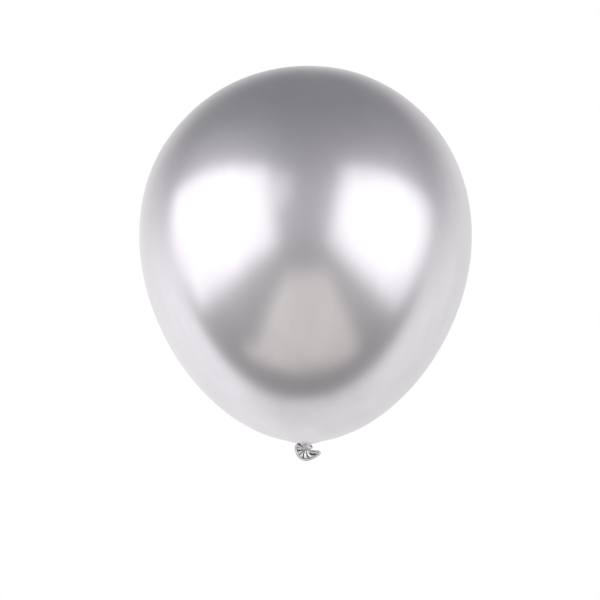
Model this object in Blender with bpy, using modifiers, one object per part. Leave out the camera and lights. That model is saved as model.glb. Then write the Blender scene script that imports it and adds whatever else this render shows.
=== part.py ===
"""A silver latex party balloon, blown up to its full 300 mm and tied off with a knot in its own neck.

Metres, +Z up. The origin is the waist of the neck, on the balloon's axis, where a ribbon would be tied.
The gas-filled skin stands above it. The knot, the pleated tail and its rolled lip hang below it, and
the mouth of the tail looks along -Y.
"""
import math

import bpy
from mathutils import Vector

COLLECTION_NAME = "chrome_balloon"
GAP = 0.0003                    # between neighbours, which in the real skin run into each other

# Gas-filled skin: an egg about the Z axis, wide above and narrow below
EGG_BREADTH = 0.14935           # radius half way up
EGG_HALF_HEIGHT = 0.17025
EGG_TIP_HEIGHT = 0.0023         # the egg's own lowest point, above the waist
EGG_LEAN = 0.208                # how much fuller the upper half is than the lower
EGG_FULLNESS = -0.041           # below 0, the ends are more pointed than an ellipsoid's
SKIN = 0.0004                   # wall of the envelope
TAPER_RADIUS = 0.025            # below this radius the egg runs into a straight taper
OPENING_RADIUS = 0.0063         # where the envelope ends and the gathered neck starts
HALVINGS = 60                   # of the span in which the taper's start is looked for
TURN_STEP = 0.001               # over which the egg's slope is measured, in radians
EGG_ROWS = 22
EGG_STEPS = 48

# Knot: one turn of the neck wrapped round the strand that goes through it
KNOT_RING_RADIUS = 0.0044       # centre line of the wrapped turn
KNOT_STRAND_RADIUS = 0.0019
KNOT_HEIGHT = -0.0023
KNOT_TILT = math.radians(6.0)   # the turn is higher on the left
KNOT_STEPS = 36
KNOT_STRAND_SIDES = 12

# Neck: the gathered skin from the envelope's opening, through the knot
WAIST_RADIUS = 0.0050
WAIST_SHARE = 0.97              # of the waist's radius, at the lower end of its fluted side
WAIST_DROP = 0.0008             # how far the waist's fluted side reaches down before it is cut by the knot
STRAND_RADIUS = 0.0020
STRAND_END = -0.0047
FLUTES = 9
FLUTE_DEPTH = 0.05              # share of the radius
NECK_STEPS = 54

# Tail: a root under the strand, a narrow throat in front of the knot, and pleats out to the lip
TAIL_SKIN = 0.0004
ROOT_RADIUS = 0.0017
ROOT_DROP = 0.0016              # how far the tube heads straight down below the strand
THROAT = Vector((0.0001, -0.0066, -0.0053))
THROAT_RADIUS = 0.0009
THROAT_RUN = Vector((0.0, 0.0034, -0.0013))     # from the throat back along the way the tube comes in
THROAT_TURN = math.radians(90.0)                # the throat looks forward, the root down
TAIL_RAYS = 54
PLEATS = 9
PLEAT_HEIGHT = 0.00055
PLEAT_SWELL = 0.8               # below 1, the pleats keep their height nearer to the throat and the lip
FAN_ROWS = 6
TUBE_ROWS = 5

# Lip: the middle of the rolled bead, seen from the front, anticlockwise from above the throat
BEAD_RADIUS = 0.0011
BEAD_POINTS = 60
LIP_SAMPLES = 600               # places on the outline between which the even points are found
LIP_PLANE = -0.0105             # Y of the lip at the waist's height
LIP_LEAN = 0.05                 # how much nearer the axis the lip lies for each metre that it is lower
LIP_OUTLINE = (                 # x, z in millimetres, bead's thickness as a share
    (0.4, -3.8, 0.5),
    (-2.7, -1.9, 0.5),
    (-5.3, -0.3, 0.7),
    (-7.4, -0.35, 1.0),
    (-8.45, -2.4, 1.0),
    (-8.15, -6.2, 1.0),
    (-6.4, -10.2, 1.0),
    (-3.2, -12.9, 1.0),
    (0.9, -13.75, 1.0),
    (5.4, -12.6, 1.0),
    (9.5, -10.3, 1.0),
    (12.2, -7.9, 1.0),
    (11.3, -6.2, 0.9),
    (7.2, -5.75, 0.6),
    (3.4, -5.2, 0.5),
)

SILVER = (0.74, 0.74, 0.75, 1.0)
SATIN = (0.66, 0.66, 0.67, 1.0)


def clear_scene():
    for thing in list(bpy.data.objects):
        bpy.data.objects.remove(thing, do_unlink=True)


def make_collection(name):
    group = bpy.data.collections.new(name)
    bpy.context.scene.collection.children.link(group)
    return group


def make_material(name, colour, roughness, metallic):
    material = bpy.data.materials.new(name)
    material.use_nodes = True
    shader = material.node_tree.nodes["Principled BSDF"]
    shader.inputs["Base Color"].default_value = colour
    shader.inputs["Roughness"].default_value = roughness
    shader.inputs["Metallic"].default_value = metallic
    return material


def add_object(name, data, group, material=None):
    thing = bpy.data.objects.new(name, data)
    group.objects.link(thing)
    if material:
        data.materials.append(material)
    return thing


def mesh_from(name, points, faces):
    mesh = bpy.data.meshes.new(name)
    mesh.from_pydata([tuple(p) for p in points], [], faces)
    mesh.update()
    return mesh


def smooth(thing, angle=40.0):
    thing.data.shade_smooth()
    thing.data.set_sharp_from_angle(angle=math.radians(angle))


def egg_point(turn):
    """Radius and height of the skin at an angle from the crown, 0, to the tip, pi."""
    s = math.cos(turn)
    shape = 1.0 + EGG_LEAN * s + EGG_FULLNESS * s * s
    radius = EGG_BREADTH * math.sin(turn) * math.sqrt(shape)
    height = EGG_TIP_HEIGHT + EGG_HALF_HEIGHT * (1.0 + s)
    return radius, height


def taper_start():
    """The angle at which the egg has narrowed to TAPER_RADIUS, and its slope there."""
    low, high = math.pi / 2, math.pi
    for _ in range(HALVINGS):
        middle = (low + high) / 2
        if egg_point(middle)[0] > TAPER_RADIUS:
            low = middle
        else:
            high = middle
    radius_a, height_a = egg_point(low - TURN_STEP)
    radius_b, height_b = egg_point(low + TURN_STEP)
    return low, (height_a - height_b) / (radius_a - radius_b)


def taper_height(radius):
    """Height of the skin's outer side where the straight taper has this radius."""
    turn, slope = taper_start()
    start_radius, start_height = egg_point(turn)
    return start_height - slope * (start_radius - radius)


def turned(name, profile, steps, group, material):
    """A profile of (radius, height), top to bottom, turned about the Z axis."""
    points = [Vector((radius, 0.0, height)) for radius, height in profile]
    mesh = bpy.data.meshes.new(name)
    mesh.from_pydata([tuple(p) for p in points], [(i, i + 1) for i in range(len(points) - 1)], [])
    thing = add_object(name, mesh, group, material)
    screw = thing.modifiers.new("turn", "SCREW")
    screw.axis = "Z"
    screw.steps = steps
    screw.render_steps = steps
    screw.use_merge_vertices = True
    screw.merge_threshold = 0.00001
    screw.use_smooth_shade = True
    return thing


def make_envelope(group, material):
    last, _ = taper_start()
    profile = [egg_point(last * i / EGG_ROWS) for i in range(EGG_ROWS + 1)]
    for share in (0.5, 1.0):
        radius = TAPER_RADIUS + (OPENING_RADIUS - TAPER_RADIUS) * share
        profile.append((radius, taper_height(radius)))
    envelope = turned("envelope", profile, EGG_STEPS, group, material)
    wall = envelope.modifiers.new("wall", "SOLIDIFY")
    wall.thickness = SKIN
    wall.offset = -1.0
    wall.use_even_offset = True
    return envelope


def make_ring(name, strand_radius, group, material=None):
    """The wrapped turn, or the wider copy of it that the neck is cut with."""
    bpy.ops.mesh.primitive_torus_add(
        major_segments=KNOT_STEPS,
        minor_segments=KNOT_STRAND_SIDES,
        major_radius=KNOT_RING_RADIUS,
        minor_radius=strand_radius,
        location=(0.0, 0.0, KNOT_HEIGHT),
        rotation=(0.0, KNOT_TILT, 0.0),
    )
    ring = bpy.context.object
    ring.name = name
    for owner in list(ring.users_collection):
        owner.objects.unlink(ring)
    group.objects.link(ring)
    if material:
        ring.data.materials.append(material)
    smooth(ring)
    return ring


def make_neck(group, cutters, material):
    rim = OPENING_RADIUS - GAP
    top = taper_height(rim) + SKIN
    profile = [
        (0.0, top),
        (rim - SKIN * taper_start()[1], top),
        (rim, taper_height(rim)),
        (WAIST_RADIUS, 0.0),
        (WAIST_RADIUS * WAIST_SHARE, -WAIST_DROP),
        (STRAND_RADIUS, KNOT_HEIGHT),
        (STRAND_RADIUS, STRAND_END),
        (0.0, STRAND_END),
    ]
    neck = turned("neck", profile, NECK_STEPS, group, material)
    depsgraph = bpy.context.evaluated_depsgraph_get()
    mesh = bpy.data.meshes.new_from_object(neck.evaluated_get(depsgraph))
    for vertex in mesh.vertices:
        if vertex.co.z < taper_height(rim) - GAP:
            angle = math.atan2(vertex.co.y, vertex.co.x)
            flute = 1.0 - FLUTE_DEPTH * (1.0 - math.cos(FLUTES * angle)) / 2
            vertex.co.x *= flute
            vertex.co.y *= flute
    neck.modifiers.clear()
    neck.data = mesh
    cutter = make_ring("knot_clearance", KNOT_STRAND_RADIUS + GAP, cutters)
    cutter.hide_render = True
    cutter.display_type = "WIRE"
    cut = neck.modifiers.new("knot_clearance", "BOOLEAN")
    cut.operation = "DIFFERENCE"
    cut.solver = "EXACT"
    cut.object = cutter
    return neck


def closed_curve(share):
    """Place and thickness of the lip's bead at a share of the way round, by a smooth closed curve."""
    count = len(LIP_OUTLINE)
    at = (share % 1.0) * count
    first = int(at) % count
    t = at - int(at)
    p0, p1, p2, p3 = (LIP_OUTLINE[(first + k - 1) % count] for k in range(4))
    blend = [
        0.5 * (2 * b + (c - a) * t + (2 * a - 5 * b + 4 * c - d) * t * t + (3 * b - a - 3 * c + d) * t ** 3)
        for a, b, c, d in zip(p0, p1, p2, p3)
    ]
    x, z, thickness = blend[0] / 1000, blend[1] / 1000, blend[2]
    return Vector((x, LIP_PLANE - LIP_LEAN * z, z)), thickness


def lip_points(count):
    """Evenly spaced points round the bead's centre line, each with its thickness."""
    fine = [closed_curve(i / LIP_SAMPLES) for i in range(LIP_SAMPLES)]
    lengths = [0.0]
    for i in range(LIP_SAMPLES):
        lengths.append(lengths[-1] + (fine[(i + 1) % LIP_SAMPLES][0] - fine[i][0]).length)
    points, at = [], 0
    for k in range(count):
        wanted = lengths[-1] * k / count
        while lengths[at + 1] < wanted:
            at += 1
        share = (wanted - lengths[at]) / (lengths[at + 1] - lengths[at])
        here, there = fine[at], fine[(at + 1) % LIP_SAMPLES]
        points.append((here[0].lerp(there[0], share), here[1] + (there[1] - here[1]) * share))
    return points


def make_lip(group, material):
    curve = bpy.data.curves.new("lip", "CURVE")
    curve.dimensions = "3D"
    curve.bevel_depth = BEAD_RADIUS
    curve.bevel_resolution = 2
    spline = curve.splines.new("POLY")
    spline.points.add(BEAD_POINTS - 1)
    spline.use_cyclic_u = True
    for point, (place, thickness) in zip(spline.points, lip_points(BEAD_POINTS)):
        point.co = (*place, 1.0)
        point.radius = thickness
    return add_object("lip", curve, group, material)


def tail_tube():
    """Rings of the narrow part, from the flat root under the strand to the throat: centre, radius, lean."""
    start = Vector((0.0, 0.0, STRAND_END - GAP))
    down = start - Vector((0.0, 0.0, ROOT_DROP))
    behind = THROAT + THROAT_RUN
    rings = []
    for i in range(TUBE_ROWS + 1):
        t = i / TUBE_ROWS
        u = 1.0 - t
        centre = start * u ** 3 + down * (3 * u * u * t) + behind * (3 * u * t * t) + THROAT * t ** 3
        radius = ROOT_RADIUS + (THROAT_RADIUS - ROOT_RADIUS) * t
        rings.append((centre, radius, THROAT_TURN * t))
    return rings


def make_tail(group, material):
    lip = lip_points(TAIL_RAYS)
    rows = []
    for centre, radius, lean in tail_tube():
        forward = Vector((0.0, -math.cos(lean), math.sin(lean)))
        left = Vector((-1.0, 0.0, 0.0))
        row = []
        for i in range(TAIL_RAYS):
            angle = 2 * math.pi * i / TAIL_RAYS
            row.append(centre + (forward * math.cos(angle) + left * math.sin(angle)) * radius)
        rows.append(row)
    throat_row = rows[-1]
    for step in range(1, FAN_ROWS + 1):
        share = step / FAN_ROWS
        row = []
        for i, (place, thickness) in enumerate(lip):
            edge = place + Vector((0.0, BEAD_RADIUS * thickness + GAP + TAIL_SKIN, 0.0))
            point = throat_row[i].lerp(edge, share)
            swell = math.sin(math.pi * share) ** PLEAT_SWELL
            pleat = PLEAT_HEIGHT * swell * math.cos(2 * math.pi * PLEATS * i / TAIL_RAYS)
            row.append(point + Vector((0.0, pleat, 0.0)))
        rows.append(row)
    points = [p for row in rows for p in row]
    faces = [tuple(reversed(range(TAIL_RAYS)))]
    for r in range(len(rows) - 1):
        for i in range(TAIL_RAYS):
            j = (i + 1) % TAIL_RAYS
            a, b = r * TAIL_RAYS, (r + 1) * TAIL_RAYS
            faces.append((a + i, a + j, b + j, b + i))
    tail = add_object("tail", mesh_from("tail", points, faces), group, material)
    wall = tail.modifiers.new("wall", "SOLIDIFY")
    wall.thickness = TAIL_SKIN
    wall.offset = -1.0
    return tail


def main():
    clear_scene()
    balloon = make_collection(COLLECTION_NAME)
    cutters = make_collection("cutters")
    mirror_skin = make_material("chrome_latex", SILVER, 0.2, 1.0)
    satin_skin = make_material("satin_latex", SATIN, 0.45, 0.6)
    make_envelope(balloon, mirror_skin)
    make_neck(balloon, cutters, satin_skin)
    make_ring("knot_loop", KNOT_STRAND_RADIUS, balloon, satin_skin)
    make_tail(balloon, satin_skin)
    make_lip(balloon, satin_skin)


main()
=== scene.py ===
"""A silver chrome-latex party balloon in a white studio: the looks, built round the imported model.

Metres, +Z up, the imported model's own frame. The photograph looks along +Y, with +X to the right.
"""
import math

import bpy
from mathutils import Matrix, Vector
from mathutils.kdtree import KDTree


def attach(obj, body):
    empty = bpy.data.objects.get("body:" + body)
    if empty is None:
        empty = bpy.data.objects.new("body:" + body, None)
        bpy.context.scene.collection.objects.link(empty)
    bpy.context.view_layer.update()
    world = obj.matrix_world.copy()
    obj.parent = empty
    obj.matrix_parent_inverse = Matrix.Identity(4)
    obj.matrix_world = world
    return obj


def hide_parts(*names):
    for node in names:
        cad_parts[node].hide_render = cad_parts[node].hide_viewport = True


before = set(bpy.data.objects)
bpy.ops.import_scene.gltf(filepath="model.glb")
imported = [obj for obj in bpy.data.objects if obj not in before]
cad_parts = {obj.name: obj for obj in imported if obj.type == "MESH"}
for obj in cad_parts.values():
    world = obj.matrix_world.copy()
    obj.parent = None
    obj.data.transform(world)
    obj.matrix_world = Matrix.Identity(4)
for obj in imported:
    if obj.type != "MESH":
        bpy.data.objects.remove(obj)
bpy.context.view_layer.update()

# The photograph: its frame, the balloon's axis, the neck's waist and the skin's width in pixels
PHOTO_WIDTH = 600
AXIS_PX = 305.5
WAIST_PX = 444.5
SKIN_PX = 331.5
PIXEL = 0.300 / SKIN_PX         # what a pixel measures, with the skin taken as 300 mm wide
LENS = 135.0                    # millimetres
SENSOR = 36.0
CLIP_END = 50.0

# Room round the balloon, by the x, y, z of a direction of length 1. Pairs are where a run starts and ends,
# or a grey's value and warmth. Other colours are linear.
HALF = (0.02, -0.02)            # from the right half to the left one
CEILING_RIGHT = (0.275, -0.02)
CEILING_LEFT = (0.242, 0.256, 0.262, 1.0)
CEILING_X = (0.15, -0.55)
CEILING_Z = (0.3, 1.0)
WALL = (0.355, -0.01)
LOW_WALL = (0.34, -0.01)
LOW_WALL_Z = (0.5, -0.1)
DARK_FLOOR = (0.26, 0.0)
DARK_FLOOR_Z = (0.05, -0.25)

# Light strip of floor that runs towards the camera: across and along it, by its depth below the balloon
SHALLOWEST = 0.02
STRIP = (0.70, 0.683, 0.635, 1.0)
STRIP_LEFT = (0.77, 0.755, 0.705, 1.0)
STRIP_LEFT_ACROSS = (0.15, 0.50)
STRIP_EDGE = (0.72, 0.66)
STRIP_START = (0.30, 0.33)
STRIP_END = (3.4, 2.2)
STRIP_Z = (0.0, -0.40)
STRIP_FLARE = (0.47, 0.28, -0.06, 0.08)     # where the left edge runs outward, and from how far to how far
STRIP_CORNER = (0.3, 0.7, 0.03, 0.10)       # the same for the near edge, towards the left corner

# White table and backdrop, behind and below
TABLE_LEFT = (1.04, 0.004)
TABLE_RIGHT = (0.91, 0.004)
TABLE_X = (-0.35, 0.35)
TABLE_BELOW = (0.86, 0.003)
TABLE_BELOW_Z = (-0.72, -1.0)
TABLE_EDGE = 0.016              # how far behind the balloon it starts
TABLE_EDGE_RUN = (-0.03, 0.03)
TABLE_TURN = 0.03               # how much further behind at the sides
TABLE_TURN_LEFT = 0.13
BACKDROP_RISE = (0.1, 0.55, 0.80, 0.98)
BACKDROP_FALL_LEFT = 0.09
BACKDROP_TOP = (0.22, -0.75)

# What the camera itself sees behind the balloon: white in the photograph's direction, pale grey in others
PAPER_GREY = 0.80
PAPER_WHITE = 1.0
PAPER_Y = (0.15, 0.80)

SOFTBOXES = (                   # azimuth, elevation, width, height, roll, light, edge, falloff, glow
    (-62.5, 6.5, 1.67, 1.12, 18.0, 0.80, 0.20, 0.0, 0.54),
    (55.5, 4.6, 1.50, 1.16, -24.5, 0.95, 0.15, 0.67, 0.41),
    (-16.3, 27.0, 0.14, 0.36, 0.0, 0.45, 0.25, 0.0, 0.0),       # a small dim panel beside the left one
)
SOFTBOX_AHEAD = (0.05, 0.06)    # nothing of a softbox shows further round than this
GLOW_SPREAD = 0.79              # how far the softboxes' glow reaches round them, in radians

# Floor, well below the balloon
FLOOR_RADIUS = 1.4
FLOOR_STEPS = 96
FLOOR_HEIGHT = -0.42
FLOOR_GREY = 0.80
FLOOR_ROUGHNESS = 0.9
FLOOR_GLOW = 0.50
FLOOR_FADE = (0.7, 1.35)        # distances from the origin over which it fades into the backdrop

# Film: how its pigment and its surface are uneven, and how far painted shade darkens it
DARKEST_PAINTED_SHADE = 0.05                  # what is left of the colour where the painted shade is deepest, as in the deepest crease
NOISE_RUN = (0.3, 0.7)
STREAK_SIZE = 38.0              # features to a metre
STREAK_DETAIL = 4.0
STREAK_LENGTH = (1.0, 1.0, 0.25)
STREAK_COLOUR = (0.975, 1.02)
STREAK_ROUGHNESS = (1.03, 0.97)
GRAIN_SIZE = 1500.0
GRAIN_DETAIL = 2.0
GRAIN_DEPTH = 0.00004
GRAIN_STRENGTH = (0.05, 0.5)    # of tight film, of slack film
CRINKLE_SIZE = 420.0
CRINKLE_DETAIL = 3.0
CRINKLE_DISTORTION = 0.6
CRINKLE_DEPTH = 0.0004
CRINKLE_START = 0.5             # slackness at which it begins to show
CRINKLE_STRENGTH = 0.35

# Finishes: colour and roughness when tight, colour and roughness when slack, metal's share, grey at the rim
CHROME = ((0.755, 0.727, 0.770, 1.0), 0.25, (0.80, 0.78, 0.81, 1.0), 0.50, 1.0, 0.93)
SATIN = ((0.94, 0.93, 0.95, 1.0), 0.30, (0.94, 0.93, 0.95, 1.0), 0.30, 0.80, 0.25)
# The knot's copy of the satin latex is darker, rougher and less metallic: its darker colour is painted shade
SHADED_KNOT_SATIN = ((0.84, 0.83, 0.85, 1.0), 0.36, (0.84, 0.83, 0.85, 1.0), 0.36, 0.72, 0.45)

# Gas-filled skin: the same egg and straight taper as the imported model's
EGG_BREADTH = 0.14935
EGG_HALF_HEIGHT = 0.17025
EGG_TIP_HEIGHT = 0.0023
EGG_LEAN = 0.208
EGG_FULLNESS = -0.041
TAPER_RADIUS = 0.025
SKIN = 0.0003                   # wall of the film
FLAT_WAY = Vector((-0.42, 0.0, 0.91))   # the crown is a little flatter this way, at the upper left
FLAT_DEPTH = 0.0012
FLAT_REACH = 0.70               # cosine of the angle at which the flatter part ends
SKIN_STEPS = 240
EGG_ROWS = 120
TAPER_ROWS = 30
TAPER_CROWDING = 1.5            # over 1, the taper's rows lie closer together towards the knot
THROAT_ROWS = 14
HALVINGS = 60                   # of the span in which the taper's start is looked for
TURN_STEP = 0.001               # over which the egg's slope is measured, in radians
THROAT_PROFILE = (              # radius, height, fuller at the front by, in millimetres: in under the knot
    (5.6, 0.15, 0.15),
    (5.25, -0.10, 0.65),
    (5.0, -0.45, 1.1),
    (4.6, -0.9, 1.65),
    (3.8, -1.4, 2.45),
    (2.4, -1.8, 3.5),
)
FRONT_ANGLE = -100.0            # the fuller side faces the camera, a little to the left
FRONT_WIDTH = 62.0
FRONT_SMOOTH = 0.85             # how far the gathers are pulled flat there

# Near the knot the film is less stretched, from the first radius to the second
SLACK_START = 0.025
SLACK_FULL = 0.0060
NECK_SHADE = 0.20               # painted shade: the neck is greyer where it gathers in under the knot
NECK_SHADE_START = 0.0085       # from this radius in

# Gathers: creases that run up the film from the knot and fade out
GATHER_START = 0.019            # radius where they begin to show
GATHER_DEPTH = 0.00055          # at the waist
GATHERS = 13
GATHER_SHARPNESS = 2.5
GATHER_DRIFT = (                # waves round the neck, size, start: the distances between them
    (3, 0.16, 0.7),
    (5, 0.09, 2.1),
)
GATHER_MEAN = 0.65              # share of the depth that a crease has
GATHER_CHANGE = (4, 0.35, 1.3)  # waves round the neck, size, start: how that share changes

# Knot: the neck's strand leaves the film at the front, goes once round and dives in under its own start
KNOT_ROUTE = (                  # x, y, z, half height, half thickness in millimetres
    (-2.4, 0.4, -0.1, 1.0, 1.0),
    (-2.3, -2.9, -0.9, 1.3, 1.4),
    (-0.2, -4.5, -1.3, 1.55, 1.6),
    (2.4, -4.1, -1.6, 1.65, 1.7),
    (4.4, -2.2, -2.3, 1.6, 1.7),
    (5.0, 0.4, -2.5, 1.6, 1.65),
    (4.0, 3.2, -2.45, 1.7, 1.6),
    (1.3, 4.8, -2.5, 1.75, 1.6),
    (-1.9, 4.6, -2.6, 1.7, 1.6),
    (-4.3, 2.6, -2.75, 1.65, 1.6),
    (-5.0, -0.2, -2.95, 1.6, 1.6),
    (-3.9, -2.6, -3.3, 1.45, 1.5),
    (-1.8, -3.6, -3.8, 1.25, 1.3),
    (0.5, -2.6, -4.1, 1.1, 1.1),
    (1.3, -0.4, -3.9, 0.9, 0.9),
    (0.9, 1.4, -3.4, 0.6, 0.6),
)
KNOT_RINGS = 260
KNOT_SIDES = 60
KNOT_PAINTED_SHADE = 0.10                # painted shade over the whole strand
TUCK_PAINTED_SHADE = (3.9, -0.5, 6.3, -1.9, 0.42, 0.9)   # painted shade where the strand tucks in under the neck: from x, z to x, z and half width in mm, shade
KNOT_TUCK_FADE = 0.003          # it fades out round the side over this distance
KNOT_LUMP = 0.03                # how uneven the strand is, as a share of its size
KNOT_LUMPS = ((2, 13.0), (3, -21.0))    # lumps round the section, their turn along the route
KNOT_SHADE = 2.4                # how dark the painted shade in a crease is for its depth
KNOT_CREASES = (                # angle on the section, turn along the route, depth, half width: degrees
    (-52.0, 260.0, 0.15, 14.0),
    (38.0, 330.0, 0.09, 9.0),
    (110.0, 240.0, 0.17, 15.0),
    (190.0, 300.0, 0.11, 12.0),
    (-120.0, 370.0, 0.08, 8.0),
)

# Lip: the middle of the rolled bead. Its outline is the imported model's, about 0.8 mm higher
BEAD_RADIUS = 0.0011
LIP_PLANE = -0.0105
LIP_LEAN = 0.05
LIP_RINGS = 420
LIP_SAMPLES = 1200              # places on the outline between which the even rings are found
BEAD_SIDES = 48
WELD_GAP = 0.000001
BEAD_GROOVES = (                # angle on the section, from outward to the front, depth, painted shade, half width
    (20.0, 0.08, 1.00, 36.0),
    (142.0, 0.20, 1.00, 28.0),
)
SHADE_POCKETS = (                     # x, z and radius in millimetres, shade: painted shade in the places where the film folds in
    (-5.7, 0.9, 1.1, 1.0),
    (-7.1, -2.6, 1.9, 0.45),
)
LIP_OUTLINE = (                 # x, z in millimetres, bead's thickness as a share
    (0.4, -3.15, 0.45),
    (-2.4, -0.75, 0.42),
    (-4.8, 1.0, 0.45),
    (-6.9, 0.95, 0.7),
    (-8.4, -1.1, 0.95),
    (-8.2, -5.4, 1.0),
    (-6.4, -9.35, 1.0),
    (-3.2, -12.05, 1.0),
    (0.9, -12.95, 1.0),
    (5.4, -11.85, 1.0),
    (9.6, -9.6, 1.0),
    (12.5, -7.2, 1.0),
    (11.5, -5.7, 0.8),
    (7.2, -5.2, 0.5),
    (3.4, -4.6, 0.45),
)

# Tail: pleats that run from the throat out to the lip, and a plainer back that runs to the knot
THROAT = Vector((0.0, -0.0072, -0.0040))
THROAT_SHADE_FULL = 0.5               # so near the throat, in millimetres, the film is dark with painted shade
THROAT_SHADE_END = 1.1               # and from here on the painted shade is gone and it has its own colour
HUB = Vector((0.0, -0.0073, -0.0052))   # the whole lip is in view from here, so the film runs out from it
PIT_DEPTH = 1.6                 # of the throat itself, in millimetres
PIT_RADIUS = 0.7
NARROW = 0.005                  # towards a lip that is nearer than this, the film is less full
TAIL_FRONT_ROWS = 44
TAIL_BACK_ROWS = 26
TAIL_ROOT = Vector((0.0008, -0.0030, -0.0046))
TAIL_ROOT_HALF_WIDTH = 0.0042
TAIL_ROOT_HALF_HEIGHT = 0.0012
TAIL_END = Vector((0.0004, -0.0005, -0.0038))
BOWL = 0.0009                   # how far the mouth's film bellies back between the throat and the bead
SINK_START = 0.25               # nearer the bead's middle than this, in millimetres, the film doesn't sink
SINK_FULL = 1.3
BACK_FULLNESS = 0.0023
BACK_FULL_FROM = 0.12           # shares of the way from the bead to the root between which it is full
BACK_FULL_TO = 0.55
BACK_CREASES = 11
BACK_CREASE = 0.00035
BACK_CREASE_WAVES = 3           # round the tail, in the distances between the creases
FOLDS = (                       # route in x, z from the throat, half width, rise: millimetres
    (((0.0, -0.9), (0.05, -8.4)), 0.46, 0.42),
    (((0.75, -0.9), (1.25, -5.0), (3.2, -7.0)), 0.48, -1.45),
    (((-0.7, -0.8), (-1.6, -4.2), (-2.3, -7.9)), 0.58, -1.4),
    (((-1.3, -1.6), (-5.0, -6.8)), 0.55, 0.8),
    (((-1.4, -1.1), (-6.2, -5.2)), 0.42, -1.3),
    (((-1.6, -0.7), (-7.2, -3.0)), 0.46, 0.8),
    (((-1.8, -0.4), (-7.6, -0.9)), 0.60, -1.4),
    (((-1.3, 0.4), (-7.3, 1.2)), 0.34, 0.3),
    (((-1.5, 0.8), (-7.0, 2.2)), 0.34, -0.8),
    (((-1.9, 1.2), (-5.6, 3.2)), 0.42, 0.7),
    (((-0.9, 1.6), (-6.0, 5.0)), 0.62, -1.8),
    (((2.4, -0.9), (6.6, -1.75), (11.6, -2.2)), 0.40, -1.5),
    (((2.2, -1.4), (10.6, -2.9)), 0.46, 0.7),
    (((3.9, -3.2), (5.6, -4.3), (9.0, -4.0)), 0.64, -1.6),
    (((1.6, -2.4), (5.9, -7.0)), 0.85, 0.6),
)
FOLD_BEND = 8                   # straight lengths that a bent fold is drawn with
RING_FROM_BEAD = 0.45           # a low ring of film just inside the bead, in millimetres
RING_WIDTH = 0.34               # half its width
RING_RISE = 0.0005
FOLD_SHADE = 0.80               # how dark the painted shade in a groove is for each millimetre of its depth
FOLD_SPREAD = 5.0               # folds have their full width this many millimetres from the throat
FOLD_WIDEST = 1.3               # past it they widen to this share
FOLD_NARROWEST = 0.35           # at the throat
FOLD_POWER = 1.6                # of the fall from a fold's ridge: over 1, it is rounded
FOLD_EDGE = 0.10                # they fade out over this share of the way at the bead
WRINKLES = 37                   # fine wrinkles between the folds, once round the throat
WRINKLE = 0.07                  # millimetres
WRINKLE_WAVES = 5               # round the throat, in the distances between the wrinkles
WRINKLE_DRIFT = 2.0
FOLD_EASE = 1.3                 # folds fade out over this many millimetres at the throat
SEAM = 0.0007                   # the film meets the bead this far behind the bead's middle


def egg_point(turn):
    """Radius and height of the skin at an angle from the crown, 0, to the tip, pi."""
    s = math.cos(turn)
    shape = 1.0 + EGG_LEAN * s + EGG_FULLNESS * s * s
    return EGG_BREADTH * math.sin(turn) * math.sqrt(shape), EGG_TIP_HEIGHT + EGG_HALF_HEIGHT * (1.0 + s)


def taper_start():
    """The angle at which the egg has narrowed to TAPER_RADIUS, and its slope there."""
    low, high = math.pi / 2, math.pi
    for _ in range(HALVINGS):
        middle = (low + high) / 2
        if egg_point(middle)[0] > TAPER_RADIUS:
            low = middle
        else:
            high = middle
    radius_a, height_a = egg_point(low - TURN_STEP)
    radius_b, height_b = egg_point(low + TURN_STEP)
    return low, (height_a - height_b) / (radius_a - radius_b)


def smooth_step(value, low, high):
    t = min(max((value - low) / (high - low), 0.0), 1.0)
    return t * t * (3.0 - 2.0 * t)


def curve_through(points, at, closed):
    """A smooth curve through rows of numbers, at a share of the way along it."""
    count = len(points)
    spans = count if closed else count - 1
    place = (at % 1.0) * spans if closed else min(max(at, 0.0), 1.0) * spans
    first = min(int(place), spans - 1)
    t = place - first
    row = []
    for k in range(-1, 3):
        index = (first + k) % count if closed else min(max(first + k, 0), count - 1)
        row.append(points[index])
    return [
        0.5 * (2 * b + (c - a) * t + (2 * a - 5 * b + 4 * c - d) * t * t + (3 * b - a - 3 * c + d) * t ** 3)
        for a, b, c, d in zip(*row)
    ]


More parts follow.
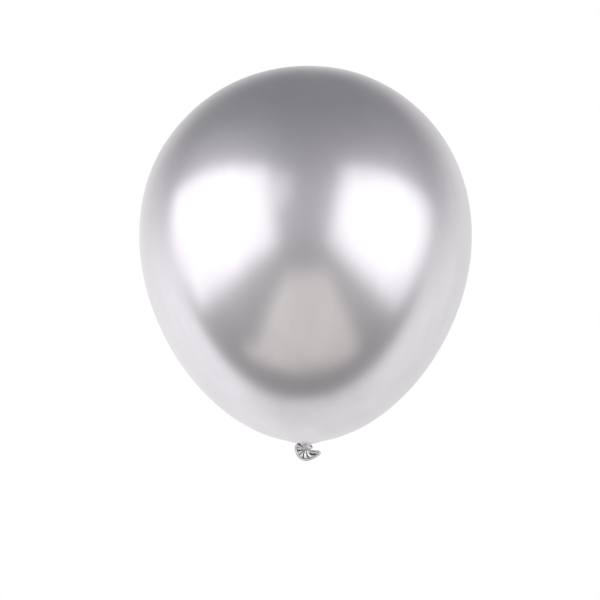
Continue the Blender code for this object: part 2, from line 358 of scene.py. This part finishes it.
class Nodes:
    """Adds and links nodes in one tree."""

    def __init__(self, tree):
        self.tree = tree
        tree.nodes.clear()

    def add(self, kind, **settings):
        node = self.tree.nodes.new(kind)
        for name, value in settings.items():
            setattr(node, name, value)
        return node

    def put(self, socket, value):
        if isinstance(value, bpy.types.NodeSocket):
            self.tree.links.new(value, socket)
        else:
            socket.default_value = value

    def math(self, operation, a, b=0.0):
        node = self.add("ShaderNodeMath", operation=operation)
        self.put(node.inputs[0], a)
        self.put(node.inputs[1], b)
        return node.outputs[0]

    def dot(self, vector, constant):
        node = self.add("ShaderNodeVectorMath", operation="DOT_PRODUCT")
        self.put(node.inputs[0], vector)
        self.put(node.inputs[1], tuple(constant))
        return node.outputs["Value"]

    def ramp(self, value, low, high, start=0.0, end=1.0):
        """start below low, end above high, and a smooth run between them."""
        node = self.add("ShaderNodeMapRange", interpolation_type="SMOOTHSTEP")
        for socket, number in zip(node.inputs, (value, low, high, start, end)):
            self.put(socket, number)
        return node.outputs[0]

    def mix(self, share, a, b):
        node = self.add("ShaderNodeMix", data_type="RGBA")
        self.put(node.inputs["Factor"], share)
        self.put(node.inputs["A"], a)
        self.put(node.inputs["B"], b)
        return node.outputs["Result"]

    def noise(self, place, size, detail, distortion=0.0):
        node = self.add("ShaderNodeTexNoise")
        node.inputs["Scale"].default_value = size
        node.inputs["Detail"].default_value = detail
        node.inputs["Distortion"].default_value = distortion
        self.put(node.inputs["Vector"], place)
        return node.outputs["Fac"]

    def bump(self, height, depth, strength):
        node = self.add("ShaderNodeBump")
        node.inputs["Distance"].default_value = depth
        self.put(node.inputs["Strength"], strength)
        self.put(node.inputs["Height"], height)
        return node

    def add_light(self, base, colour, share):
        node = self.add("ShaderNodeMix", data_type="RGBA", blend_type="ADD")
        self.put(node.inputs["Factor"], share)
        self.put(node.inputs["A"], base)
        self.put(node.inputs["B"], colour)
        return node.outputs["Result"]


def grey(value, warmth=0.0):
    return (value * (1 + warmth), value, value * (1 - warmth), 1.0)


def direction(azimuth, elevation):
    """Azimuth 0 is towards the camera, 90 to the right."""
    az, el = math.radians(azimuth), math.radians(elevation)
    return Vector((math.sin(az) * math.cos(el), -math.cos(az) * math.cos(el), math.sin(el)))


def add_softbox(n, way, base, azimuth, elevation, width, height, roll, light, edge, falloff, glow):
    """A lamp's bright sheet, as wide as it looks from the balloon, with a soft edge and a glow round it."""
    centre = direction(azimuth, elevation)
    right = Vector((math.cos(math.radians(azimuth)), math.sin(math.radians(azimuth)), 0.0))
    up = right.cross(-centre)
    cos_roll, sin_roll = math.cos(math.radians(roll)), math.sin(math.radians(roll))
    ahead = n.dot(way, centre)
    depth = n.math("MAXIMUM", ahead, SOFTBOX_AHEAD[0])
    sideways = n.dot(way, right * cos_roll + up * sin_roll)
    upward = n.dot(way, up * cos_roll - right * sin_roll)
    x = n.math("DIVIDE", sideways, n.math("MULTIPLY", depth, width / 2))
    y = n.math("DIVIDE", upward, n.math("MULTIPLY", depth, height / 2))
    sheet = n.math(
        "MULTIPLY",
        n.ramp(n.math("ABSOLUTE", x), 1 + edge, 1 - edge),
        n.ramp(n.math("ABSOLUTE", y), 1 + edge, 1 - edge),
    )
    sheet = n.math("MULTIPLY", sheet, n.ramp(ahead, *SOFTBOX_AHEAD))
    out = n.math("ADD", n.math("MULTIPLY", x, x), n.math("MULTIPLY", y, y))
    sheet = n.math("MULTIPLY", sheet, n.math("SUBTRACT", 1.0, n.math("MULTIPLY", out, falloff / 2)))
    base = n.add_light(base, grey(light), n.math("MAXIMUM", sheet, 0.0))
    if not glow:
        return base
    angle = n.math("ARCCOSINE", n.math("MINIMUM", ahead, 1.0))
    share = n.math("DIVIDE", angle, GLOW_SPREAD)
    fade = n.math("EXPONENT", n.math("MULTIPLY", n.math("MULTIPLY", share, share), -1.0))
    return n.add_light(base, grey(glow), fade)


def make_world():
    world = bpy.data.worlds.new("studio")
    bpy.context.scene.world = world
    world.use_nodes = True
    n = Nodes(world.node_tree)
    way = n.add("ShaderNodeTexCoord").outputs["Generated"]
    split = n.add("ShaderNodeSeparateXYZ")
    n.put(split.inputs[0], way)
    x, y, z = split.outputs
    side = n.math("ABSOLUTE", x)
    left = n.ramp(x, *HALF)
    # Dim room, then the dark floor in front
    ceiling = n.mix(n.ramp(x, *CEILING_X), grey(*CEILING_RIGHT), CEILING_LEFT)
    room = n.mix(n.ramp(z, *CEILING_Z), grey(*WALL), ceiling)
    room = n.mix(n.ramp(z, *LOW_WALL_Z), room, grey(*LOW_WALL))
    room = n.mix(n.ramp(z, *DARK_FLOOR_Z), room, grey(*DARK_FLOOR))
    # Strip
    down = n.math("MAXIMUM", n.math("MULTIPLY", z, -1.0), SHALLOWEST)
    across = n.math("DIVIDE", side, down)
    along = n.math("DIVIDE", n.math("MULTIPLY", y, -1.0), down)
    flare = n.math("MULTIPLY", left, n.ramp(along, *STRIP_FLARE))
    corner = n.math("MULTIPLY", left, n.ramp(across, *STRIP_CORNER))
    paler = n.math("MULTIPLY", left, n.ramp(across, *STRIP_LEFT_ACROSS))
    across = n.math("SUBTRACT", across, flare)
    along = n.math("ADD", along, corner)
    strip = n.math("MULTIPLY", n.ramp(across, *STRIP_EDGE), n.ramp(along, *STRIP_START))
    strip = n.math("MULTIPLY", strip, n.ramp(along, *STRIP_END))
    strip = n.math("MULTIPLY", strip, n.ramp(z, *STRIP_Z))
    room = n.mix(strip, room, n.mix(paler, STRIP, STRIP_LEFT))
    # Table and backdrop
    turn = n.math("ADD", n.math("MULTIPLY", left, TABLE_TURN_LEFT), TABLE_TURN)
    behind = n.math("SUBTRACT", n.math("SUBTRACT", y, n.math("MULTIPLY", side, turn)), TABLE_EDGE)
    rise = n.math("SUBTRACT", n.ramp(x, *BACKDROP_RISE), n.math("MULTIPLY", left, BACKDROP_FALL_LEFT))
    top = n.math("SUBTRACT", z, n.math("MULTIPLY", n.math("MAXIMUM", y, 0.0), rise))
    white = n.math("MULTIPLY", n.ramp(behind, *TABLE_EDGE_RUN), n.ramp(top, *BACKDROP_TOP))
    table = n.mix(n.ramp(x, *TABLE_X), grey(*TABLE_LEFT), grey(*TABLE_RIGHT))
    table = n.mix(n.ramp(z, *TABLE_BELOW_Z), table, grey(*TABLE_BELOW))
    room = n.mix(white, room, table)
    for softbox in SOFTBOXES:
        room = add_softbox(n, way, room, *softbox)
    studio = n.add("ShaderNodeBackground")
    n.put(studio.inputs["Color"], room)
    paper = n.add("ShaderNodeBackground")
    n.put(paper.inputs["Color"], n.mix(n.ramp(y, *PAPER_Y), grey(PAPER_GREY), grey(PAPER_WHITE)))
    seen = n.add("ShaderNodeMixShader")
    n.put(seen.inputs[0], n.add("ShaderNodeLightPath").outputs["Is Camera Ray"])
    n.put(seen.inputs[1], studio.outputs[0])
    n.put(seen.inputs[2], paper.outputs[0])
    n.put(n.add("ShaderNodeOutputWorld").inputs[0], seen.outputs[0])


def make_camera():
    camera = bpy.data.cameras.new("camera")
    camera.lens = LENS
    camera.sensor_width = SENSOR
    camera.clip_end = CLIP_END
    thing = bpy.data.objects.new("camera", camera)
    bpy.context.scene.collection.objects.link(thing)
    distance = PHOTO_WIDTH * PIXEL * LENS / SENSOR
    across = (PHOTO_WIDTH / 2 - AXIS_PX) * PIXEL
    up = (WAIST_PX - PHOTO_WIDTH / 2) * PIXEL
    thing.location = (across, -distance, up)
    thing.rotation_euler = (math.radians(90.0), 0.0, 0.0)
    bpy.context.scene.camera = thing


def make_latex(name, tight, tight_roughness, slack, slack_roughness, metallic, edge):
    """Silver pigment in rubber: tight film is bright and smooth, slack film greyer and more satin."""
    material = bpy.data.materials.new(name)
    material.use_nodes = True
    n = Nodes(material.node_tree)
    shader = n.add("ShaderNodeBsdfPrincipled")
    shader.inputs["Metallic"].default_value = metallic
    shader.inputs["Specular Tint"].default_value = grey(edge)
    place = n.add("ShaderNodeTexCoord").outputs["Object"]
    slackness = n.add("ShaderNodeAttribute", attribute_name="slack").outputs["Fac"]
    crease = n.add("ShaderNodeAttribute", attribute_name="shade").outputs["Fac"]
    # Pigment lies a little unevenly, in soft streaks along the balloon
    stretch = n.add("ShaderNodeMapping")
    stretch.inputs["Scale"].default_value = STREAK_LENGTH
    n.put(stretch.inputs["Vector"], place)
    streak = n.noise(stretch.outputs[0], STREAK_SIZE, STREAK_DETAIL)
    cloud = n.ramp(streak, *NOISE_RUN, *STREAK_COLOUR)
    # The shade attribute is painted shade: it darkens the colour in creases, grooves, pockets and the throat
    shade = n.add("ShaderNodeVectorMath", operation="SCALE")
    n.put(shade.inputs[0], n.mix(slackness, tight, slack))
    n.put(shade.inputs["Scale"], n.math("MULTIPLY", cloud, n.ramp(crease, 0.0, 1.0, 1.0, DARKEST_PAINTED_SHADE)))
    n.put(shader.inputs["Base Color"], shade.outputs[0])
    rough = n.ramp(slackness, 0.0, 1.0, tight_roughness, slack_roughness)
    rough = n.math("MULTIPLY", rough, n.ramp(streak, *NOISE_RUN, *STREAK_ROUGHNESS))
    n.put(shader.inputs["Roughness"], rough)
    # The rubber has a very fine grain, and slack film is also faintly crinkled
    grain = n.noise(place, GRAIN_SIZE, GRAIN_DETAIL)
    grained = n.bump(grain, GRAIN_DEPTH, n.ramp(slackness, 0.0, 1.0, *GRAIN_STRENGTH))
    crinkle = n.noise(place, CRINKLE_SIZE, CRINKLE_DETAIL, CRINKLE_DISTORTION)
    strength = n.ramp(slackness, CRINKLE_START, 1.0, 0.0, CRINKLE_STRENGTH)
    crinkled = n.bump(crinkle, CRINKLE_DEPTH, strength)
    n.put(crinkled.inputs["Normal"], grained.outputs[0])
    n.put(shader.inputs["Normal"], crinkled.outputs[0])
    n.put(n.add("ShaderNodeOutputMaterial").inputs[0], shader.outputs[0])
    return material


def loft(name, rows, slack, material, shades=None):
    """A surface through rows of points. A row of one point is a pole. Slack and painted shade go with the
    rows.
    """
    points, starts = [], []
    for row in rows:
        starts.append(len(points))
        points.extend(tuple(p) for p in row)
    faces = []
    for k in range(len(rows) - 1):
        a, b = starts[k], starts[k + 1]
        here, there = len(rows[k]), len(rows[k + 1])
        steps = max(here, there)
        for i in range(steps):
            j = (i + 1) % steps
            if here == 1:
                faces.append((a, b + i, b + j))
            elif there == 1:
                faces.append((a + i, b, a + j))
            else:
                faces.append((a + i, b + i, b + j, a + j))
    mesh = bpy.data.meshes.new(name)
    mesh.from_pydata(points, [], faces)
    mesh.shade_smooth()
    mesh.materials.append(material)
    for kind, marks in (("slack", slack), ("shade", shades or [0.0] * len(rows))):
        values = []
        for row, mark in zip(rows, marks):
            values.extend(mark if isinstance(mark, list) else [mark] * len(row))
        mesh.attributes.new(kind, "FLOAT", "POINT").data.foreach_set("value", values)
    thing = bpy.data.objects.new(name, mesh)
    bpy.context.scene.collection.objects.link(thing)
    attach(thing, "root")
    return thing


def dip(angle, at, half_width):
    """1 at the middle of a groove on a section, 0 away from it. Degrees."""
    offset = (angle - at + 180.0) % 360.0 - 180.0
    return math.exp(-((offset / half_width) ** 2))


def gather(angle):
    """0 on the ridges between the gathers, 1 in their creases, at uneven distances round the neck."""
    uneven = angle
    for waves, size, start in GATHER_DRIFT:
        uneven += size * math.sin(waves * angle + start)
    crease = (1.0 - abs(math.sin(GATHERS * uneven / 2))) ** GATHER_SHARPNESS
    waves, size, start = GATHER_CHANGE
    return crease * (GATHER_MEAN + size * math.sin(waves * angle + start))


def make_skin(material):
    last, slope = taper_start()
    profile = [egg_point(last * i / EGG_ROWS) for i in range(1, EGG_ROWS + 1)]
    start_radius, start_height = egg_point(last)
    end_radius = THROAT_PROFILE[0][0] / 1000
    for i in range(1, TAPER_ROWS):
        share = 1.0 - (1.0 - i / TAPER_ROWS) ** TAPER_CROWDING
        radius = start_radius + (end_radius - start_radius) * share
        profile.append((radius, start_height - slope * (start_radius - radius)))
    fuller = [0.0] * len(profile)
    for i in range(THROAT_ROWS + 1):
        radius, height, front = curve_through(THROAT_PROFILE, i / THROAT_ROWS, closed=False)
        profile.append((radius / 1000, height / 1000))
        fuller.append(front / 1000)
    crown = egg_point(0.0)[1] - FLAT_DEPTH * smooth_step(FLAT_WAY.z, FLAT_REACH, 1.0)
    rows, slack, shades = [[(0.0, 0.0, crown)]], [0.0], [0.0]
    for i, (radius, height) in enumerate(profile):
        before = profile[max(i - 1, 0)]
        after = profile[min(i + 1, len(profile) - 1)]
        along = Vector((after[0] - before[0], after[1] - before[1])).normalized()
        normal_out, normal_up = -along.y, along.x
        depth = GATHER_DEPTH * smooth_step(radius, GATHER_START, end_radius) ** 2 if i > EGG_ROWS else 0.0
        row = []
        for k in range(SKIN_STEPS):
            angle = 2 * math.pi * k / SKIN_STEPS
            in_front = dip(math.degrees(angle), FRONT_ANGLE, FRONT_WIDTH)
            sink = depth * gather(angle) * (1.0 - FRONT_SMOOTH * in_front) if depth else 0.0
            front = fuller[i] * in_front
            around = Vector((math.cos(angle) * normal_out, math.sin(angle) * normal_out, normal_up))
            sink += FLAT_DEPTH * smooth_step(around.dot(FLAT_WAY), FLAT_REACH, 1.0)
            out, up = radius + front - sink * normal_out, height - sink * normal_up
            row.append((out * math.cos(angle), out * math.sin(angle), up))
        rows.append(row)
        below = i > EGG_ROWS
        slack.append(smooth_step(radius, SLACK_START, SLACK_FULL) if below else 0.0)
        # Painted shade on the neck, darker towards the knot
        shades.append(NECK_SHADE * smooth_step(radius, NECK_SHADE_START, end_radius) if below else 0.0)
    skin = loft("gas_skin", rows, slack, material, shades)
    wall = skin.modifiers.new("wall", "SOLIDIFY")
    wall.thickness = SKIN
    wall.offset = -1.0
    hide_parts("envelope", "neck")


def tuck_shade_at(point):
    """Painted shade on the front of the knot where the strand tucks in under the neck."""
    from_x, from_z, to_x, to_z, half_width, shade = TUCK_PAINTED_SHADE
    start = Vector((from_x, from_z))
    along = Vector((to_x, to_z)) - start
    place = Vector((point.x * 1000, point.z * 1000)) - start
    share = min(max(place.dot(along) / along.length_squared, 0.0), 1.0)
    fade = smooth_step(-point.y, 0.0, KNOT_TUCK_FADE)
    return shade * fade * math.exp(-(((place - along * share).length / half_width) ** 2))


def make_knot(material):
    """The strand, swept along its route. Its section is an oval with a few creases that turn along it."""
    places = [curve_through(KNOT_ROUTE, i / (KNOT_RINGS - 1), closed=False) for i in range(KNOT_RINGS)]
    rows, shades = [], []
    for i, (x, y, z, half_height, half_thickness) in enumerate(places):
        centre = Vector((x, y, z)) / 1000
        before, after = places[max(i - 1, 0)], places[min(i + 1, KNOT_RINGS - 1)]
        along = (Vector(after[:3]) - Vector(before[:3])).normalized()
        up = (Vector((0.0, 0.0, 1.0)) - along * along.z).normalized()
        outward = along.cross(up)
        share = i / (KNOT_RINGS - 1)
        row, shade = [], []
        for k in range(KNOT_SIDES):
            angle = 2 * math.pi * k / KNOT_SIDES
            size = 1.0 + KNOT_LUMP * sum(math.sin(lumps * angle + turn * share) for lumps, turn in KNOT_LUMPS)
            # Painted shade: the strand is darkened all over, more in its creases and where it tucks in
            dark = KNOT_PAINTED_SHADE
            for start, turn, depth, width in KNOT_CREASES:
                crease = depth * dip(math.degrees(angle), start + turn * share, width)
                size -= crease
                dark += crease * KNOT_SHADE
            row.append(
                centre
                + outward * (math.cos(angle) * half_thickness * size / 1000)
                + up * (math.sin(angle) * half_height * size / 1000)
            )
            shade.append(dark + tuck_shade_at(row[-1]))
        rows.append(row)
        shades.append(shade)
    rows = [[Vector(places[0][:3]) / 1000]] + rows + [[Vector(places[-1][:3]) / 1000]]
    knot = loft("knot", rows, [1.0] * len(rows), material, [0.0] + shades + [0.0])
    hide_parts("knot_loop")
    knot.visible_glossy = False


def lip_place(share):
    """Centre of the bead and its thickness at a share of the way round the lip."""
    x, z, thickness = curve_through(LIP_OUTLINE, share, closed=True)
    x, z = x / 1000, z / 1000
    return Vector((x, LIP_PLANE - LIP_LEAN * z, z)), thickness


def lip_ring(count):
    """Evenly spaced places round the lip."""
    fine = [lip_place(i / LIP_SAMPLES) for i in range(LIP_SAMPLES)]
    lengths = [0.0]
    for i in range(LIP_SAMPLES):
        lengths.append(lengths[-1] + (fine[(i + 1) % LIP_SAMPLES][0] - fine[i][0]).length)
    ring, at = [], 0
    for k in range(count):
        wanted = lengths[-1] * k / count
        while lengths[at + 1] < wanted:
            at += 1
        share = (wanted - lengths[at]) / (lengths[at + 1] - lengths[at])
        here, there = fine[at], fine[(at + 1) % LIP_SAMPLES]
        ring.append((here[0].lerp(there[0], share), here[1] + (there[1] - here[1]) * share))
    return ring


def pocket_shade_at(point):
    """Painted shade on the film at a place in the mouth, from the pockets where it folds in."""
    return max(
        shade * math.exp(-(((point.x * 1000 - x) ** 2 + (point.z * 1000 - z) ** 2) / radius ** 2))
        for x, z, radius, shade in SHADE_POCKETS
    )


def make_lip(material):
    """The rolled edge: a bead with a groove on its outer side and one where it meets the film inside, both
    darkened with painted shade.
    """
    ring = lip_ring(LIP_RINGS)
    front = Vector((0.0, -1.0, 0.0))
    rows, shades = [], []
    for i, (centre, thickness) in enumerate(ring):
        along = (ring[(i + 1) % LIP_RINGS][0] - ring[i - 1][0]).normalized()
        outward = along.cross(front).normalized()
        ahead = outward.cross(along).normalized()
        # Painted shade from the pockets where the film folds in
        pocket = pocket_shade_at(centre)
        row, shade = [], []
        for k in range(BEAD_SIDES):
            angle = 2 * math.pi * k / BEAD_SIDES
            groove, dark = 0.0, pocket
            # Painted shade along the grooves, on top of the pockets' painted shade
            for at, depth, painted_shading, width in BEAD_GROOVES:
                groove += depth * dip(math.degrees(angle), at, width)
                dark += painted_shading * dip(math.degrees(angle), at, width)
            reach = BEAD_RADIUS * thickness * (1.0 - groove)
            row.append(centre + (outward * math.cos(angle) + ahead * math.sin(angle)) * reach)
            shade.append(dark)
        rows.append(row)
        shades.append(shade)
    rows.append(rows[0])
    shades.append(shades[0])
    lip = loft("rolled_lip", rows, [1.0] * len(rows), material, shades)
    weld = lip.modifiers.new("weld", "WELD")
    weld.merge_threshold = WELD_GAP
    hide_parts("lip")
    lip.visible_glossy = False


def fold_lines():
    """The folds as straight lengths: start, run, the run's square, half width and rise."""
    lines = []
    for route, half_width, rise in FOLDS:
        count = FOLD_BEND if len(route) > 2 else 1
        points = [Vector(curve_through(route, i / count, closed=False)) for i in range(count + 1)]
        for start, end in zip(points, points[1:]):
            lines.append((start, end - start, (end - start).length_squared, half_width, rise))
    return lines


def fold_at(lines, x, z):
    """How far the film stands forward at a place measured from the throat, and how deep it lies."""
    far = min(math.hypot(x, z) / FOLD_SPREAD, FOLD_WIDEST)
    place = Vector((x, z))
    rise, depth = 0.0, 0.0
    for start, run, square, half_width, height in lines:
        from_start = place - start
        share = min(max(from_start.dot(run) / square, 0.0), 1.0)
        width = half_width * (FOLD_NARROWEST + (1.0 - FOLD_NARROWEST) * far)
        stand = height * math.exp(-((from_start - run * share).length / width) ** FOLD_POWER)
        rise = max(rise, stand)
        depth = min(depth, stand)
    angle = math.atan2(z, x)
    wrinkle = WRINKLE * math.sin(WRINKLES * angle + WRINKLE_DRIFT * math.sin(WRINKLE_WAVES * angle)) * far
    return rise + depth + wrinkle, -depth


def tail_front(ring):
    """Rows of the folded film inside the mouth, from the hub out to the bead, with their painted shades."""
    lines = fold_lines()
    bead = KDTree(LIP_RINGS)
    for k, (centre, _) in enumerate(ring):
        bead.insert((centre.x, 0.0, centre.z), k)
    bead.balance()
    rows, shades = [[HUB]], [0.0]
    for j in range(1, TAIL_FRONT_ROWS + 1):
        share = j / TAIL_FRONT_ROWS
        row, shade = [], []
        for centre, thickness in ring:
            edge = centre + Vector((0.0, SEAM * thickness, 0.0))
            point = HUB.lerp(edge, share)
            rise, depth = fold_at(lines, (point.x - THROAT.x) * 1000, (point.z - THROAT.z) * 1000)
            near = math.hypot(point.x - THROAT.x, point.z - THROAT.z) * 1000
            ease = smooth_step(near, 0.0, FOLD_EASE) * smooth_step(1.0 - share, 0.0, FOLD_EDGE)
            reach = min((centre - HUB).length / NARROW, 1.0)
            sink = BOWL * math.sin(math.pi * share) * reach - rise * ease / 1000
            sink += PIT_DEPTH * math.exp(-((near / PIT_RADIUS) ** 2)) / 1000
            if sink > 0.0:
                to_bead = bead.find((point.x, 0.0, point.z))[2] * 1000
                sink *= smooth_step(to_bead, SINK_START, SINK_FULL)
            point.y += sink
            inside = (edge - point).length * 1000
            point.y -= RING_RISE * dip(inside, BEAD_RADIUS * thickness * 1000 + RING_FROM_BEAD, RING_WIDTH)
            row.append(point)
            # Painted shade in the throat's pit, in the grooves and in the pockets
            throat = 1.0 - smooth_step(near, THROAT_SHADE_FULL, THROAT_SHADE_END)
            shade.append(max(depth * ease * FOLD_SHADE, pocket_shade_at(point), throat))
        rows.append(row)
        shades.append(shade)
    return rows, shades


def tail_back(ring):
    """Rows of the tail's back, from the bead in to its root under the knot."""
    rows = []
    for j in range(1, TAIL_BACK_ROWS + 1):
        share = j / TAIL_BACK_ROWS
        full = BACK_FULLNESS * smooth_step(share, 0.0, BACK_FULL_FROM)
        full *= 1.0 - smooth_step(share, BACK_FULL_TO, 1.0)
        row = []
        for centre, thickness in ring:
            way = centre - HUB
            spin = math.atan2(way.z, way.x)
            out = math.cos(spin) * TAIL_ROOT_HALF_WIDTH
            up = math.sin(spin) * TAIL_ROOT_HALF_HEIGHT
            edge = centre + Vector((0.0, SEAM * thickness, 0.0))
            point = edge.lerp(TAIL_ROOT + Vector((out, 0.0, up)), share)
            crease = BACK_CREASE * math.cos(BACK_CREASES * spin + math.sin(BACK_CREASE_WAVES * spin))
            crease *= math.sin(math.pi * share)
            point.y += (full + crease) * min(way.length / NARROW, 1.0)
            row.append(point)
        rows.append(row)
    rows.append([TAIL_END])
    return rows


def make_tail(material):
    ring = lip_ring(LIP_RINGS)
    front, shades = tail_front(ring)
    back = tail_back(ring)
    rows = front + back
    tail = loft("pleated_tail", rows, [1.0] * len(rows), material, shades + [0.0] * len(back))
    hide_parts("tail")
    tail.visible_glossy = False


def make_floor():
    """A pale floor, well below the balloon, that fades into the backdrop at its edge."""
    turns = [2 * math.pi * k / FLOOR_STEPS for k in range(FLOOR_STEPS)]
    points = [(FLOOR_RADIUS * math.cos(turn), FLOOR_RADIUS * math.sin(turn), FLOOR_HEIGHT) for turn in turns]
    mesh = bpy.data.meshes.new("floor")
    mesh.from_pydata(points, [], [tuple(range(FLOOR_STEPS))])
    material = bpy.data.materials.new("floor_paper")
    material.use_nodes = True
    n = Nodes(material.node_tree)
    length = n.add("ShaderNodeVectorMath", operation="LENGTH")
    n.put(length.inputs[0], n.add("ShaderNodeTexCoord").outputs["Object"])
    paper = n.add("ShaderNodeBsdfPrincipled")
    paper.inputs["Base Color"].default_value = grey(FLOOR_GREY)
    paper.inputs["Roughness"].default_value = FLOOR_ROUGHNESS
    paper.inputs["Emission Color"].default_value = grey(1.0)
    paper.inputs["Emission Strength"].default_value = FLOOR_GLOW
    mixed = n.add("ShaderNodeMixShader")
    n.put(mixed.inputs[0], n.ramp(length.outputs["Value"], *FLOOR_FADE))
    n.put(mixed.inputs[1], paper.outputs[0])
    n.put(mixed.inputs[2], n.add("ShaderNodeBsdfTransparent").outputs[0])
    n.put(n.add("ShaderNodeOutputMaterial").inputs[0], mixed.outputs[0])
    mesh.materials.append(material)
    floor = bpy.data.objects.new("floor", mesh)
    bpy.context.scene.collection.objects.link(floor)
    floor.visible_glossy = False
    floor.visible_diffuse = False


bpy.context.scene.view_settings.view_transform = "Standard"
make_camera()
make_world()
make_floor()
chrome_latex = make_latex("chrome_latex", *CHROME)
satin_latex = make_latex("satin_latex", *SATIN)
# The knot's latex, a darker copy of the satin: painted shade
shaded_knot_latex = make_latex("shaded_knot_latex", *SHADED_KNOT_SATIN)
make_skin(chrome_latex)
make_knot(shaded_knot_latex)
make_tail(satin_latex)
make_lip(satin_latex)
